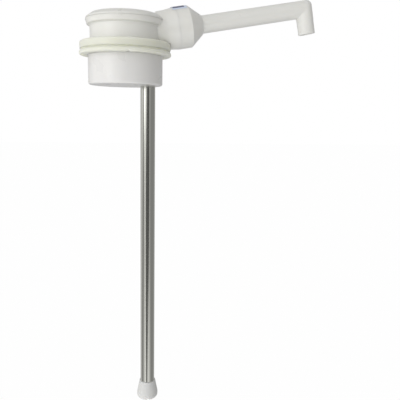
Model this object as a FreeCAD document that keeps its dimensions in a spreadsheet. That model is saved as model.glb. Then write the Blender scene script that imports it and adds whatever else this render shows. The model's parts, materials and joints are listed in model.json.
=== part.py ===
import FreeCAD, Part
import math
import os

import Sketcher

# Rotary hand transfer pump for the wide neck of a liquid can.
#
# Row frame: +Z up, the head's axis is Z, and z = 0 is the flat underside of the neck ring, where
# the pump sits on the can's neck. The spout arm leaves the head towards +X and climbs as it goes.
# A finger crank in the top of the head turns a pair of gears in the spigot cup. They draw liquid
# up the steel tube, past the ball in the foot, and push it through the outlet valve to the spout.

doc = FreeCAD.newDocument("TransferPump")
sheet = doc.addObject("Spreadsheet::Sheet", "Dimensions")


# ---------------------------------------------------------------- driving dimensions

DIMENSIONS = {
    # head, around Z
    "spigot_radius": 39.4,       # lower cylinder, inside the can's neck
    "ring_land_radius": 38.9,    # the cup above z = 0, which the ring is stretched over
    "spigot_depth": 30.6,        # underside of the ring to the cup's underside
    "drum_radius": 37.25,
    "wall": 2.6,
    "rim_base": 30.0,            # where the rim's underside leaves the drum
    "rim_foot_radius": 40.4,
    "rim_foot": 31.0,
    "rim_radius": 41.7,
    "rim_joint": 36.0,           # height of the thin groove round the rim
    "rim_joint_width": 0.5,
    "rim_joint_depth": 0.7,
    "shoulder_radius": 41.0,
    "shoulder": 38.2,
    "crown_radius": 35.4,
    "rim_top": 42.2,
    "recess_radius": 31.5,       # well in the top, for the cover and the crank
    "cover_seat": 26.0,          # height of the ledge that the top cover rests on
    "ledge_depth": 3.0,
    "ledge_radius": 25.0,
    "port_height": 4.4,          # slot from the pressure room to the outlet
    "port_width": 18.0,
    "slip": 0.05,                # gap in a fixed fit
    "running": 0.08,             # gap in a turning or sliding fit
    "edge": 0.6,                 # small broken edge
    # neck ring
    "land_top": 3.9,             # top of the cup, inside the ring
    "lower_lip_radius": 48.5,
    "lower_lip_top": 3.4,
    "groove_radius": 46.5,
    "groove_height": 4.9,
    "upper_lip_radius": 48.0,
    "upper_lip_base": 6.4,
    "upper_lip_top": 13.4,
    "ring_top": 15.2,
    "ring_relief": 0.8,          # bevel inside the ring's foot, clear of the spigot
    "vent_width": 2.4,
    "vent_depth": 1.0,
    # gear pump
    "floor": 3.0,
    "plenum_radius": 35.3,
    "body_base": -19.6,          # underside of the gear body
    "body_floor": 3.0,
    "gear_room": 10.0,
    "plate": 4.0,
    "pitch_radius": 10.0,
    "gear_teeth": 12,
    "tip_radius": 11.55,
    "root_radius": 7.9,
    "tip_gap": 0.15,
    "gear_end_gap": 0.15,
    "port_radius": 4.5,
    "port_offset": 9.5,
    "shaft_radius": 4.0,
    "bush_radius": 6.0,
    "bearing_boss": 8.5,
    "idler_pin_radius": 3.0,
    "plate_screw_pitch": 31.2,
    # crank
    "cover": 4.0,
    "cover_screw_pitch": 28.0,
    "screw_radius": 1.5,
    "screw_head_radius": 2.8,
    "crank_gap": 1.8,
    "crank_disc_radius": 29.4,
    "crank_disc": 5.0,
    "knob_throw": 18.0,
    "knob_radius": 7.0,
    "knob_length": 13.0,
    "knob_pin_radius": 2.5,
    # suction tube and foot
    "tube_offset": 23.9,
    "tube_radius": 8.0,
    "tube_bore": 7.0,
    "tube_top": -21.6,
    "tube_end": -386.0,
    "nut_radius": 10.4,
    "nut": 4.6,
    "foot_tip": -393.8,
    "foot_collar_top": -372.0,
    "foot_collar_radius": 9.2,
    "foot_radius": 12.0,
    "foot_shoulder": -386.3,
    "foot_seat": -389.4,
    "foot_port": 3.4,
    "ball_radius": 4.5,
    "ball_lift": 3.0,
    # outlet, along the arm's axis; a station is a distance from Z along that axis
    "arm_height": 20.66,         # where the arm's axis crosses Z
    "arm_tilt": 11.0,
    "stub_radius": 22.05,
    "stub_root": 28.0,
    "stub_root_radius": 20.0,
    "stub_waist": 43.0,
    "stub_waist_radius": 20.4,
    "seam": 55.7,
    "socket": 48.5,
    "socket_radius": 16.0,
    "outlet_bore": 9.0,
    "housing_end": 69.5,
    "housing_radius": 22.0,
    "cone_end": 83.3,
    "cone_end_radius": 10.65,
    "valve_bore": 13.0,
    "gland_base": 70.0,
    "gland_step": 74.5,
    "neck_radius": 8.6,
    "arm_radius": 9.53,
    "arm_bore": 6.8,
    "mouth_radius": 7.1,         # bore of the spout's mouth, for a hose tail
    "land_radius": 9.3,          # outside of the spout's mouth, for a hose
    "land_length": 15.0,         # how far both reach up the drop
    "elbow": 203.2,
    "drop": 27.5,
    "elbow_round": 6.0,
    # blank label
    "label_width": 28.0,
    "label_film": 0.3,
    "label_start": 52.8,
    "label_end": 66.6,
}

for row, (word, number) in enumerate(DIMENSIONS.items(), start=1):
    sheet.set(f"A{row}", word)
    sheet.set(f"B{row}", str(number))
    sheet.setAlias(f"B{row}", word)
doc.recompute()


class Size:
    """A number together with the sheet formula that gives it, so that both stay in step."""

    def __init__(self, value, formula):
        self.value = float(value)
        self.formula = formula

    @staticmethod
    def of(item):
        return item if isinstance(item, Size) else Size(item, repr(item))

    def __add__(self, other):
        other = Size.of(other)
        return Size(self.value + other.value, f"({self.formula} + {other.formula})")

    def __sub__(self, other):
        other = Size.of(other)
        return Size(self.value - other.value, f"({self.formula} - {other.formula})")

    def __mul__(self, other):
        other = Size.of(other)
        return Size(self.value * other.value, f"({self.formula} * {other.formula})")

    def __neg__(self):
        return Size(-self.value, f"(0 - {self.formula})")

    def __radd__(self, other):
        return Size.of(other) + self

    def __rsub__(self, other):
        return Size.of(other) - self

    def __rmul__(self, other):
        return Size.of(other) * self


class Dimensions:
    """Every alias of the sheet as an attribute that holds a Size."""

    def __getattr__(self, word):
        return Size(sheet.get(word), f"Dimensions.{word}")


d = Dimensions()


# ---------------------------------------------------------------- making things

def bind(thing, **sizes):
    """Set properties of an object from sizes, each one bound to the sheet."""
    for name, size in sizes.items():
        path = name.replace("_at_", ".Placement.Base.")
        thing.setExpression(path, Size.of(size).formula)
    return thing


def place(thing, x=0, y=0, z=0):
    """Put an object's origin at a point, bound to the sheet."""
    return bind(thing, _at_x=x, _at_y=y, _at_z=z)


def cylinder(name, radius, base, top, x=0, y=0):
    """Upright cylinder from one height to another."""
    solid = doc.addObject("Part::Cylinder", name)
    bind(solid, Radius=radius, Height=Size.of(top) - base)
    return place(solid, x, y, base)


def cone(name, base_radius, top_radius, base, top):
    """Upright cone frustum from one height to another."""
    solid = doc.addObject("Part::Cone", name)
    bind(solid, Radius1=base_radius, Radius2=top_radius, Height=Size.of(top) - base)
    return place(solid, 0, 0, base)


def torus(name, ring_radius, section_radius, height, x=0, y=0):
    """Ring of round section about an upright axis."""
    solid = doc.addObject("Part::Torus", name)
    bind(solid, Radius1=ring_radius, Radius2=section_radius)
    return place(solid, x, y, height)


def box(name, length, width, height, x, y, z):
    """Box with its lowest corner at a point."""
    solid = doc.addObject("Part::Box", name)
    bind(solid, Length=length, Width=width, Height=height)
    return place(solid, x, y, z)


def fuse(name, *solids):
    joined = doc.addObject("Part::MultiFuse", name)
    joined.Shapes = list(solids)
    joined.Refine = True
    return joined


def cut(name, solid, *tools):
    """Take each tool in turn away from a solid."""
    for number, tool in enumerate(tools):
        last = number == len(tools) - 1
        result = doc.addObject("Part::Cut", name if last else f"{name}_cut{number}")
        result.Base = solid
        result.Tool = tool
        result.Refine = True
        solid = result
    return solid


def common(name, first, second):
    result = doc.addObject("Part::Common", name)
    result.Base = first
    result.Tool = second
    return result


def ring_edges(shape, *wanted):
    """Names of the full round edges about Z with the wanted radius and height."""
    found = []
    for number, item in enumerate(shape.Edges, start=1):
        if item.Curve.TypeId != "Part::GeomCircle":
            continue
        centre = item.Curve.Center
        for radius, height in wanted:
            near = abs(item.Curve.Radius - Size.of(radius).value) < 0.01
            if near and abs(centre.z - Size.of(height).value) < 0.01:
                found.append(number)
    return found


def rounded(name, solid, size, *wanted):
    """Round the named ring edges of a solid; size is a length in millimetres."""
    doc.recompute()
    result = doc.addObject("Part::Fillet", name)
    result.Base = solid
    result.Edges = [(number, size, size) for number in ring_edges(solid.Shape, *wanted)]
    return result


def turned(name, outline):
    """Body turned about Z from a closed outline of (radius, height) points."""
    body = doc.addObject("PartDesign::Body", name)
    plane = next(item for item in body.Origin.OriginFeatures if item.Role == "XZ_Plane")
    axis = next(item for item in body.Origin.OriginFeatures if item.Role == "Z_Axis")
    sketch = body.newObject("Sketcher::SketchObject", f"{name}_outline")
    sketch.AttachmentSupport = [(plane, "")]
    sketch.MapMode = "FlatFace"
    points = [(Size.of(radius), Size.of(height)) for radius, height in outline]
    for number, (start, end) in enumerate(zip(points, points[1:] + points[:1])):
        first = FreeCAD.Vector(start[0].value, start[1].value, 0)
        second = FreeCAD.Vector(end[0].value, end[1].value, 0)
        sketch.addGeometry(Part.LineSegment(first, second), False)
    for number, (radius, height) in enumerate(points):
        before = (number - 1) % len(points)
        sketch.addConstraint(Sketcher.Constraint("Coincident", before, 2, number, 1))
        across = Sketcher.Constraint("DistanceX", -1, 1, number, 1, radius.value)
        sketch.setExpression(f"Constraints[{sketch.addConstraint(across)}]", radius.formula)
        upward = Sketcher.Constraint("DistanceY", -1, 1, number, 1, height.value)
        sketch.setExpression(f"Constraints[{sketch.addConstraint(upward)}]", height.formula)
    turn = body.newObject("PartDesign::Revolution", f"{name}_turn")
    turn.Profile = sketch
    turn.ReferenceAxis = (axis, [""])
    turn.Angle = 360
    body.Tip = turn
    return body


def soften(body, size, *wanted):
    """Round ring edges of a turned body; size is a length in millimetres."""
    doc.recompute()
    base = body.Tip
    names = [f"Edge{number}" for number in ring_edges(base.Shape, *wanted)]
    fillet = body.newObject("PartDesign::Fillet", f"{body.Name}_round{len(body.Group)}")
    fillet.Base = (base, names)
    fillet.Radius = size
    body.Tip = fillet
    return body


def on_arm(solid, station=0):
    """Turn an upright solid onto the arm's axis, with its own base at a station of that axis."""
    tilt = FreeCAD.Rotation(FreeCAD.Vector(0, 1, 0), 90 - d.arm_tilt.value)
    solid.Placement = FreeCAD.Placement(FreeCAD.Vector(0, 0, 0), tilt)
    solid.setExpression(".Placement.Rotation.Angle", (90 - d.arm_tilt).formula)
    reach = Size.of(station).formula
    angle = f"{d.arm_tilt.formula} * 1 deg"
    solid.setExpression(".Placement.Base.x", f"{reach} * cos({angle})")
    solid.setExpression(".Placement.Base.z", f"{d.arm_height.formula} + {reach} * sin({angle})")
    return solid


def around(name, pitch, angles, make_one):
    """Group of equal solids on a circle; make_one(number) gives the one on the axis."""
    members = []
    for number, angle in enumerate(angles):
        member = make_one(f"{name}_{number}")
        radius = Size.of(pitch).formula
        member.setExpression(".Placement.Base.x", f"{radius} * cos({angle} deg)")
        member.setExpression(".Placement.Base.y", f"{radius} * sin({angle} deg)")
        members.append(member)
    group = doc.addObject("Part::Compound", name)
    group.Links = members
    return group


NODES = []


def keep(thing, label=None):
    """Mark an object as a finished sub-part; its label names its file."""
    thing.Label = label or thing.Name
    NODES.append(thing)
    return thing


# ---------------------------------------------------------------- head shells and neck ring

body_top = d.body_base + d.body_floor + d.gear_room
plate_top = body_top + d.plate
cup_bore = d.spigot_radius - d.wall
cup_floor = d.floor - d.spigot_depth
PAST = 1                         # how far a cutting solid runs past the surface it cuts
cup_round = 2.2
plenum_round = 0.8
tube_seal_width = 1.6
tube_seal_depth = 1.4

cup = turned("spigot_cup_shell", [
    (0, -d.spigot_depth),
    (d.spigot_radius, -d.spigot_depth),
    (d.spigot_radius, 0),
    (d.ring_land_radius, 0),
    (d.ring_land_radius, d.land_top),
    (cup_bore, d.land_top),
    (cup_bore, d.body_base),
    (d.plenum_radius, d.body_base),
    (d.plenum_radius, cup_floor),
    (0, cup_floor),
])
soften(cup, cup_round, (d.spigot_radius, -d.spigot_depth))
soften(cup, plenum_round, (d.plenum_radius, cup_floor))
tube_hole = cylinder("tube_hole", d.tube_radius + d.slip, -d.spigot_depth - PAST,
                     cup_floor + PAST, d.tube_offset)
seal_seat = cylinder("tube_seal_seat", d.tube_radius + tube_seal_width,
                     cup_floor - tube_seal_depth, cup_floor + PAST, d.tube_offset)
keep(cut("spigot_cup", cup, tube_hole, seal_seat))

skirt_bore = cup_bore - d.slip - d.wall
joint_low = d.rim_joint - 0.5 * d.rim_joint_width
joint_high = d.rim_joint + 0.5 * d.rim_joint_width
joint_radius = d.rim_radius - d.rim_joint_depth
rim_foot_round = 0.9
rim_round = 2.2
stub_gap = 0.1                   # between the stub and the ring under it
shell_overlap = 0.5              # how far the stub reaches into the drum's wall
drum = turned("drum", [
    (skirt_bore, plate_top),
    (cup_bore - d.slip, plate_top),
    (cup_bore - d.slip, d.land_top),
    (d.drum_radius, d.land_top),
    (d.drum_radius, d.rim_base),
    (d.rim_foot_radius, d.rim_foot),
    (d.rim_radius, joint_low),
    (joint_radius, joint_low),
    (joint_radius, joint_high),
    (d.rim_radius, joint_high),
    (d.shoulder_radius, d.shoulder),
    (d.crown_radius, d.rim_top),
    (d.recess_radius, d.rim_top),
    (d.recess_radius, d.cover_seat),
    (d.ledge_radius, d.cover_seat),
    (d.ledge_radius, d.cover_seat - d.ledge_depth),
    (skirt_bore, d.cover_seat - d.ledge_depth),
])
soften(drum, rim_foot_round, (d.drum_radius, d.rim_base), (d.rim_foot_radius, d.rim_foot))
soften(drum, rim_round, (d.shoulder_radius, d.shoulder), (d.crown_radius, d.rim_top))
stub = on_arm(turned("stub", [
    (0, d.stub_root),
    (d.stub_root_radius, d.stub_root),
    (d.stub_waist_radius, d.stub_waist),
    (d.stub_radius, d.seam),
    (0, d.seam),
]))
# The stub is cut clear of the ring and its top, of the pressure room and of the crank's well.
ring_room = turned("ring_room", [
    (0, -d.spigot_depth),
    (d.upper_lip_radius + stub_gap, -d.spigot_depth),
    (d.upper_lip_radius + stub_gap, d.upper_lip_top + stub_gap),
    (d.drum_radius, d.ring_top + stub_gap),
    (0, d.ring_top + stub_gap),
])
pressure_room = cylinder("pressure_room", d.drum_radius - shell_overlap, -d.spigot_depth, d.cover_seat)
crank_room = cylinder("crank_room", d.recess_radius, 0, 2 * d.rim_top)
stub_shell = cut("stub_shell", stub, ring_room, pressure_room, crank_room)
head_solid = fuse("head_solid", drum, stub_shell)
bore_start = 41
window_start = 30
window_depth = 14
stub_bore = on_arm(cylinder("stub_bore", d.outlet_bore, 0, d.socket - bore_start + PAST),
                   bore_start)
window = box("outlet_window", window_depth, d.port_width, d.port_height, window_start,
             -0.5 * d.port_width,
             d.cover_seat - d.ledge_depth - d.port_height)
socket = on_arm(cylinder("outlet_socket", d.socket_radius, 0, d.seam - d.socket + PAST), d.socket)
screw_angles = [45, 135, 225, 315]
cover_screw_holes = around(
    "cover_screw_holes", d.cover_screw_pitch, screw_angles,
    lambda name: cylinder(name, d.screw_radius, d.cover_seat - d.ledge_depth - 3 * PAST,
                          d.cover_seat + PAST))
keep(cut("head_shell", head_solid, stub_bore, window, socket, cover_screw_holes))

ring_foot_gap = 0.3
lower_lip_round = 1.3
upper_lip_round = 2.0
groove_round = 0.8
ring = turned("neck_ring_blank", [
    (d.spigot_radius + ring_foot_gap, 0),
    (d.lower_lip_radius, 0),
    (d.lower_lip_radius, d.lower_lip_top),
    (d.groove_radius, d.groove_height),
    (d.upper_lip_radius, d.upper_lip_base),
    (d.upper_lip_radius, d.upper_lip_top),
    (d.drum_radius + d.slip, d.ring_top),
    (d.drum_radius + d.slip, d.land_top),
    (d.ring_land_radius + d.slip, d.land_top),
    (d.ring_land_radius + d.slip, d.ring_relief),
])
soften(ring, lower_lip_round, (d.lower_lip_radius, 0), (d.lower_lip_radius, d.lower_lip_top))
soften(ring, upper_lip_round, (d.upper_lip_radius, d.upper_lip_top),
       (d.upper_lip_radius, d.upper_lip_base))
soften(ring, groove_round, (d.groove_radius, d.groove_height))
vent_length = 30
vents = [
    box(f"vent_groove_{side}", d.vent_width, vent_length, 2 * d.vent_depth,
        -0.5 * d.vent_width, start, -d.vent_depth)
    for side, start in (("front", -2 * vent_length), ("rear", vent_length))
]
keep(cut("neck_ring", ring, *vents))


# ---------------------------------------------------------------- gear pump

boss_bottom = d.body_base - 6
gear_body_blank = turned("gear_body_blank", [
    (0, boss_bottom),
    (d.bearing_boss, boss_bottom),
    (d.bearing_boss, d.body_base),
    (cup_bore - d.slip, d.body_base),
    (cup_bore - d.slip, body_top),
    (0, body_top),
])
idler_x = -2 * d.pitch_radius
room_floor = d.body_base + d.body_floor
room_radius = d.tip_radius + d.tip_gap
mesh_x = -d.pitch_radius
drive_room = cylinder("drive_room", room_radius, room_floor, body_top + PAST)
idler_room = cylinder("idler_room", room_radius, room_floor, body_top + PAST, idler_x)
inlet = cylinder("inlet_port", d.port_radius, d.body_base - PAST, body_top + PAST, mesh_x,
                 -d.port_offset)
outlet = cylinder("outlet_port", d.port_radius, room_floor, body_top + PAST, mesh_x, d.port_offset)
lower_bush_hole = cylinder("lower_bush_hole", d.bush_radius + d.slip, boss_bottom - PAST,
                           room_floor + PAST)
idler_pin_hole = cylinder("idler_pin_hole", d.idler_pin_radius, d.body_base, room_floor + PAST,
                          idler_x)
plate_angles = [30, 90, 150, 210, 270, 330]
plate_screw_taps = around(
    "plate_screw_taps", d.plate_screw_pitch, plate_angles,
    lambda name: cylinder(name, d.screw_radius, body_top - 8, body_top + PAST))
keep(cut("gear_body", gear_body_blank, drive_room, idler_room, inlet, outlet, lower_bush_hole,
         idler_pin_hole, plate_screw_taps))

plate_blank = cylinder("port_plate_blank", cup_bore - d.slip, body_top, plate_top)
plate_shaft_hole = cylinder("plate_shaft_hole", d.shaft_radius + d.running, body_top - PAST,
                            plate_top + PAST)
plate_outlet = cylinder("plate_outlet", d.port_radius, body_top - PAST, plate_top + PAST, mesh_x,
                        d.port_offset)
plate_pin_hole = cylinder("plate_pin_hole", d.idler_pin_radius, body_top - PAST, body_top + 2,
                          idler_x)
plate_screw_holes = around(
    "plate_screw_holes", d.plate_screw_pitch, plate_angles,
    lambda name: cylinder(name, d.screw_radius, body_top - PAST, plate_top + PAST))
keep(cut("port_plate", plate_blank, plate_shaft_hole, plate_outlet, plate_pin_hole,
         plate_screw_holes))


def cap_screw(name, under_head, length, head=2.4):
    """Round-headed screw whose head sits on the height under_head."""
    shank = cylinder(f"{name}_shank", d.screw_radius, under_head - length, under_head)
    cap = cylinder(f"{name}_cap", d.screw_head_radius, under_head, under_head + head)
    drive = cylinder(f"{name}_drive", 1.3, under_head + head - 1.3, under_head + head + PAST)
    return cut(name, fuse(f"{name}_solid", shank, cap), drive)


keep(around("port_plate_screws", d.plate_screw_pitch, plate_angles,
            lambda name: cap_screw(name, plate_top, 9)))


def gear_outline(angle_of_first_tooth):
    """Closed wire of an involute gear; below the base circle its flanks are radial."""
    teeth = int(d.gear_teeth.value)
    pitch = d.pitch_radius.value
    pressure = math.radians(20)
    base = pitch * math.cos(pressure)
    backlash = 0.2
    half_tooth = math.pi / (2 * teeth) - backlash / (4 * pitch)

    def involute(angle):
        return math.tan(angle) - angle

    def half_angle(radius):
        lean = math.acos(min(1.0, base / radius))
        return half_tooth + involute(pressure) - involute(lean)

    def point(radius, angle):
        return FreeCAD.Vector(radius * math.cos(angle), radius * math.sin(angle), 0)

    steps = 6
    radii = [base + (d.tip_radius.value - base) * step / steps for step in range(steps + 1)]
    edges = []
    for tooth in range(teeth):
        middle = angle_of_first_tooth + 2 * math.pi * tooth / teeth
        next_middle = middle + 2 * math.pi / teeth
        rising = [point(radius, middle - half_angle(radius)) for radius in radii]
        falling = [point(radius, middle + half_angle(radius)) for radius in reversed(radii)]
        foot_in = point(d.root_radius.value, middle - half_angle(base))
        foot_out = point(d.root_radius.value, middle + half_angle(base))
        next_foot = point(d.root_radius.value, next_middle - half_angle(base))
        edges.append(Part.LineSegment(foot_in, rising[0]).toShape())
        for flank in (rising, falling):
            curve = Part.BSplineCurve()
            curve.interpolate(flank)
            edges.append(curve.toShape())
            if flank is rising:
                crown = point(d.tip_radius.value, middle)
                edges.append(Part.Arc(rising[-1], crown, falling[0]).toShape())
        edges.append(Part.LineSegment(falling[-1], foot_out).toShape())
        valley = point(d.root_radius.value, middle + math.pi / teeth)
        edges.append(Part.Arc(foot_out, valley, next_foot).toShape())
    return Part.Wire(Part.__sortEdges__(edges))


def gear(name, bore, x, first_tooth):
    """Gear blank extruded from its outline, bored, and stood in its room."""
    height = (d.gear_room - 2 * d.gear_end_gap).value
    blank = Part.Face(gear_outline(first_tooth)).extrude(FreeCAD.Vector(0, 0, height))
    solid = doc.addObject("Part::Feature", name)
    solid.Shape = blank.cut(Part.makeCylinder(bore.value, height))
    return place(solid, x, 0, room_floor + d.gear_end_gap)


key_width = 2.4
key_depth = 1.0
key_inset = 1                    # the key stops this short of the gear's faces
key_reach = d.shaft_radius + key_depth


def key_slot(name, low, high, width):
    """Box for the key, half in the shaft and half in the gear."""
    return box(name, key_reach - 2, width, high - low, 2, -0.5 * Size.of(width), low)


gear_low = room_floor + d.gear_end_gap
gear_high = body_top - d.gear_end_gap
drive_blank = gear("drive_gear_blank", d.shaft_radius, 0, 0.0)
keep(cut("drive_gear", drive_blank, key_slot("gear_keyway", gear_low - PAST, gear_high + PAST,
                                             key_width)))
keep(key_slot("gear_key", gear_low + key_inset, gear_high - key_inset, key_width))
half_pitch = math.pi / d.gear_teeth.value
keep(gear("idler_gear", d.idler_pin_radius + d.running, idler_x, half_pitch))
keep(cylinder("idler_pin", d.idler_pin_radius, d.body_base, body_top + 2, idler_x))



def flat(name, base):
    """A block that leaves a flat on one side of the shaft, above a height."""
    from_axis = 3.0
    side = 20
    return box(name, side / 2, side, 12, from_axis, -side / 2, base)


shaft_end_gap = 0.6              # between the shaft's foot and the bush's underside
hub_web = 1.2                    # the disc's thickness over the shaft's end
tap_depth = 10
shaft_top = d.cover_seat + d.cover + d.crank_gap + d.crank_disc - hub_web
shaft_blank = cylinder("shaft_blank", d.shaft_radius, boss_bottom + shaft_end_gap, shaft_top)
shaft_flat = flat("shaft_flat", d.cover_seat + d.cover + d.crank_gap)
shaft_tap = cylinder("shaft_tap", d.screw_radius, shaft_top - tap_depth, shaft_top + PAST)
keep(cut("drive_shaft", shaft_blank, key_slot("shaft_keyway", gear_low + key_inset, gear_high - key_inset,
                                              key_width), shaft_flat, shaft_tap))

keep(cut("lower_bush",
         cylinder("lower_bush_blank", d.bush_radius, boss_bottom, room_floor),
         cylinder("lower_bush_bore", d.shaft_radius + d.running, boss_bottom - PAST,
                  room_floor + PAST)))


# ---------------------------------------------------------------- top cover and crank

cover_top = d.cover_seat + d.cover
boss_base = d.cover_seat - 10
bush_base = d.cover_seat - 3
sink_floor = cover_top - 2
seal_top = boss_base + 5
seal_radius = d.bearing_boss - 1
cover_boss = d.bearing_boss + 1
cover_edge = d.recess_radius - 0.1
cover_shaft_hole = d.shaft_radius + 0.5
sink_gap = 0.2
gasket_radius = d.ledge_radius + 0.75
gasket_thickness = 0.65
gasket_groove_depth = 0.7
cover_blank = turned("top_cover_blank", [
    (cover_shaft_hole, boss_base),
    (cover_boss, boss_base),
    (cover_boss, d.cover_seat),
    (cover_edge, d.cover_seat),
    (cover_edge, cover_top),
    (cover_shaft_hole, cover_top),
])
bush_pocket = cylinder("upper_bush_pocket", d.bush_radius + d.slip, bush_base,
                       cover_top + PAST)
seal_pocket = cylinder("seal_pocket", seal_radius, boss_base - PAST, seal_top)
cover_holes = around(
    "cover_holes", d.cover_screw_pitch, screw_angles,
    lambda name: cylinder(name, d.screw_radius, d.cover_seat - PAST, cover_top + PAST))
cover_sinks = around(
    "cover_sinks", d.cover_screw_pitch, screw_angles,
    lambda name: cylinder(name, d.screw_head_radius + sink_gap, sink_floor, cover_top + PAST))
gasket_groove = torus("cover_gasket_groove", gasket_radius, gasket_groove_depth, d.cover_seat)
keep(cut("top_cover", cover_blank, bush_pocket, seal_pocket, cover_holes, cover_sinks,
         gasket_groove))
gasket_ring = torus("cover_gasket_ring", gasket_radius, gasket_thickness, d.cover_seat)
gasket_under = cylinder("gasket_under", d.recess_radius, bush_base, d.cover_seat)
keep(cut("cover_gasket", gasket_ring, gasket_under))
keep(cut("upper_bush",
         cylinder("upper_bush_blank", d.bush_radius, bush_base, cover_top),
         cylinder("upper_bush_bore", d.shaft_radius + d.running, bush_base - PAST,
                  cover_top + PAST)))
lip_height = 1.4
lip_width = 1.2
throat_height = 2.6
throat_width = 0.9
mouth_width = 1.6
keep(turned("shaft_seal", [
    (d.shaft_radius + d.running, boss_base + lip_height),
    (d.shaft_radius + lip_width, boss_base),
    (seal_radius - d.slip, boss_base),
    (seal_radius - d.slip, seal_top),
    (d.shaft_radius + mouth_width, seal_top),
    (d.shaft_radius + throat_width, boss_base + throat_height),
]))
cover_screw_length = 7
cover_screw_head = 1.9
keep(around("top_cover_screws", d.cover_screw_pitch, screw_angles,
            lambda name: cap_screw(name, sink_floor, cover_screw_length, head=cover_screw_head)))

disc_base = cover_top + d.crank_gap
disc_top = disc_base + d.crank_disc
hub_base = cover_top + 0.5
hub_radius = d.bush_radius + 1
dish_floor = disc_top - 1.6
disc_round = 1.0
disc_blank = turned("crank_disc_blank", [
    (0, hub_base),
    (hub_radius, hub_base),
    (hub_radius, disc_base),
    (d.crank_disc_radius, disc_base),
    (d.crank_disc_radius, disc_top),
    (d.crank_disc_radius - 3, disc_top),
    (d.crank_disc_radius - 4, dish_floor),
    (d.bearing_boss + 3, dish_floor),
    (d.bearing_boss + 2, disc_top),
    (0, disc_top),
])
soften(disc_blank, disc_round, (d.crank_disc_radius, disc_top))
disc_shaft_hole = cylinder("disc_shaft_hole", d.shaft_radius, cover_top, shaft_top)
disc_flat = flat("disc_flat", disc_base)
disc_screw_hole = cylinder("disc_screw_hole", d.screw_radius + 2 * d.slip, shaft_top - PAST, disc_top + PAST)
disc_pin_hole = cylinder("disc_pin_hole", d.knob_pin_radius, disc_base - PAST, disc_top + PAST, 0,
                         d.knob_throw)
pin_boss = cylinder("pin_boss", d.knob_radius, disc_base + 1, disc_top, 0, d.knob_throw)
shaft_bore = cut("disc_shaft_bore", disc_shaft_hole, disc_flat)
keep(cut("crank_disc", fuse("crank_disc_solid", disc_blank, pin_boss), shaft_bore,
         disc_screw_hole, disc_pin_hole))

hub_head_radius = 3.6
hub_head_top = disc_top + 2.6
hub_head_round = 0.8
hub_drive_radius = 1.7
hub_drive_floor = disc_top + 1.0
hub_shank = cylinder("hub_screw_shank", d.screw_radius, shaft_top - tap_depth + PAST, disc_top)
hub_cap = cylinder("hub_screw_cap", hub_head_radius, disc_top, hub_head_top)
hub_drive = cylinder("hub_screw_drive", hub_drive_radius, hub_drive_floor, hub_head_top + PAST)
hub_solid = rounded("hub_screw_solid", fuse("hub_screw_blank", hub_shank, hub_cap),
                    hub_head_round, (hub_head_radius, hub_head_top))
keep(cut("hub_screw", hub_solid, hub_drive))

knob_base = disc_top + 0.4
knob_top = knob_base + d.knob_length
knob_edge = 1.2
knob_waist = 1.9
knob_waist_height = knob_base + 3.5
knob_crown = knob_top - 3
knob_round = 0.9
pin_head_base = knob_top - 2.4
pin_head_top = knob_top - 0.8
pin_head_gap = 0.3
pin_head_radius = d.knob_pin_radius + 1.5
sink_radius = pin_head_radius + pin_head_gap
pin_shank = cylinder("knob_pin_shank", d.knob_pin_radius, disc_base, pin_head_base)
pin_head = cylinder("knob_pin_head", pin_head_radius, pin_head_base, pin_head_top)
knob_pin = fuse("knob_pin", pin_shank, pin_head)
keep(place(knob_pin, 0, d.knob_throw, 0))
knob = turned("finger_knob", [
    (d.knob_pin_radius + d.running, knob_base),
    (d.knob_radius - knob_edge, knob_base),
    (d.knob_radius - knob_waist, knob_waist_height),
    (d.knob_radius, knob_crown),
    (d.knob_radius, knob_top - knob_edge),
    (d.knob_radius - knob_edge, knob_top),
    (sink_radius, knob_top),
    (sink_radius, pin_head_base - pin_head_gap),
    (d.knob_pin_radius + d.running, pin_head_base - pin_head_gap),
])
soften(knob, knob_round, (d.knob_radius, knob_top - knob_edge),
       (d.knob_radius - knob_edge, knob_top))
keep(place(knob, 0, d.knob_throw, 0))


# ---------------------------------------------------------------- suction tube and foot valve

def beside(solid):
    """Move an upright solid from the head's axis to the suction tube's axis."""
    return place(solid, d.tube_offset, 0, 0)


keep(beside(turned("suction_tube", [
    (d.tube_bore, d.tube_end),
    (d.tube_radius, d.tube_end),
    (d.tube_radius, d.tube_top),
    (d.tube_bore, d.tube_top),
])))
nut_edge = 1
keep(beside(turned("tube_nut", [
    (d.tube_radius, cup_floor),
    (d.nut_radius, cup_floor),
    (d.nut_radius, cup_floor + d.nut - nut_edge),
    (d.nut_radius - nut_edge, cup_floor + d.nut),
    (d.tube_radius, cup_floor + d.nut),
])))
tube_seal_thickness = 0.65
keep(torus("tube_seal", d.tube_radius + tube_seal_thickness + 2 * d.slip, tube_seal_thickness,
           cup_floor - 0.5 * tube_seal_depth, d.tube_offset))

foot_tip_round = 5.0
foot_shoulder_round = 2.0
collar_round = 0.6
collar_height = 3
collar_flare = 0.5
foot_blank = turned("foot_blank", [
    (0, d.foot_tip),
    (d.foot_radius, d.foot_tip),
    (d.foot_radius, d.foot_shoulder),
    (d.foot_collar_radius + collar_flare, d.foot_collar_top - collar_height),
    (d.foot_collar_radius, d.foot_collar_top),
    (0, d.foot_collar_top),
])
soften(foot_blank, foot_tip_round, (d.foot_radius, d.foot_tip))
soften(foot_blank, foot_shoulder_round, (d.foot_radius, d.foot_shoulder))
soften(foot_blank, collar_round, (d.foot_collar_radius, d.foot_collar_top))
beside(foot_blank)
foot_socket = cylinder("foot_socket", d.tube_radius, d.tube_end, d.foot_collar_top + PAST,
                       d.tube_offset)
ball_room = cylinder("ball_room", d.tube_bore - 1.0, d.foot_seat, d.tube_end + PAST, d.tube_offset)
foot_inlet = cylinder("foot_inlet", d.foot_port, d.foot_tip - PAST, d.foot_seat + PAST, d.tube_offset)
slot_long = 40
slot_wide = 3.0
slot_high = 4.0
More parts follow.
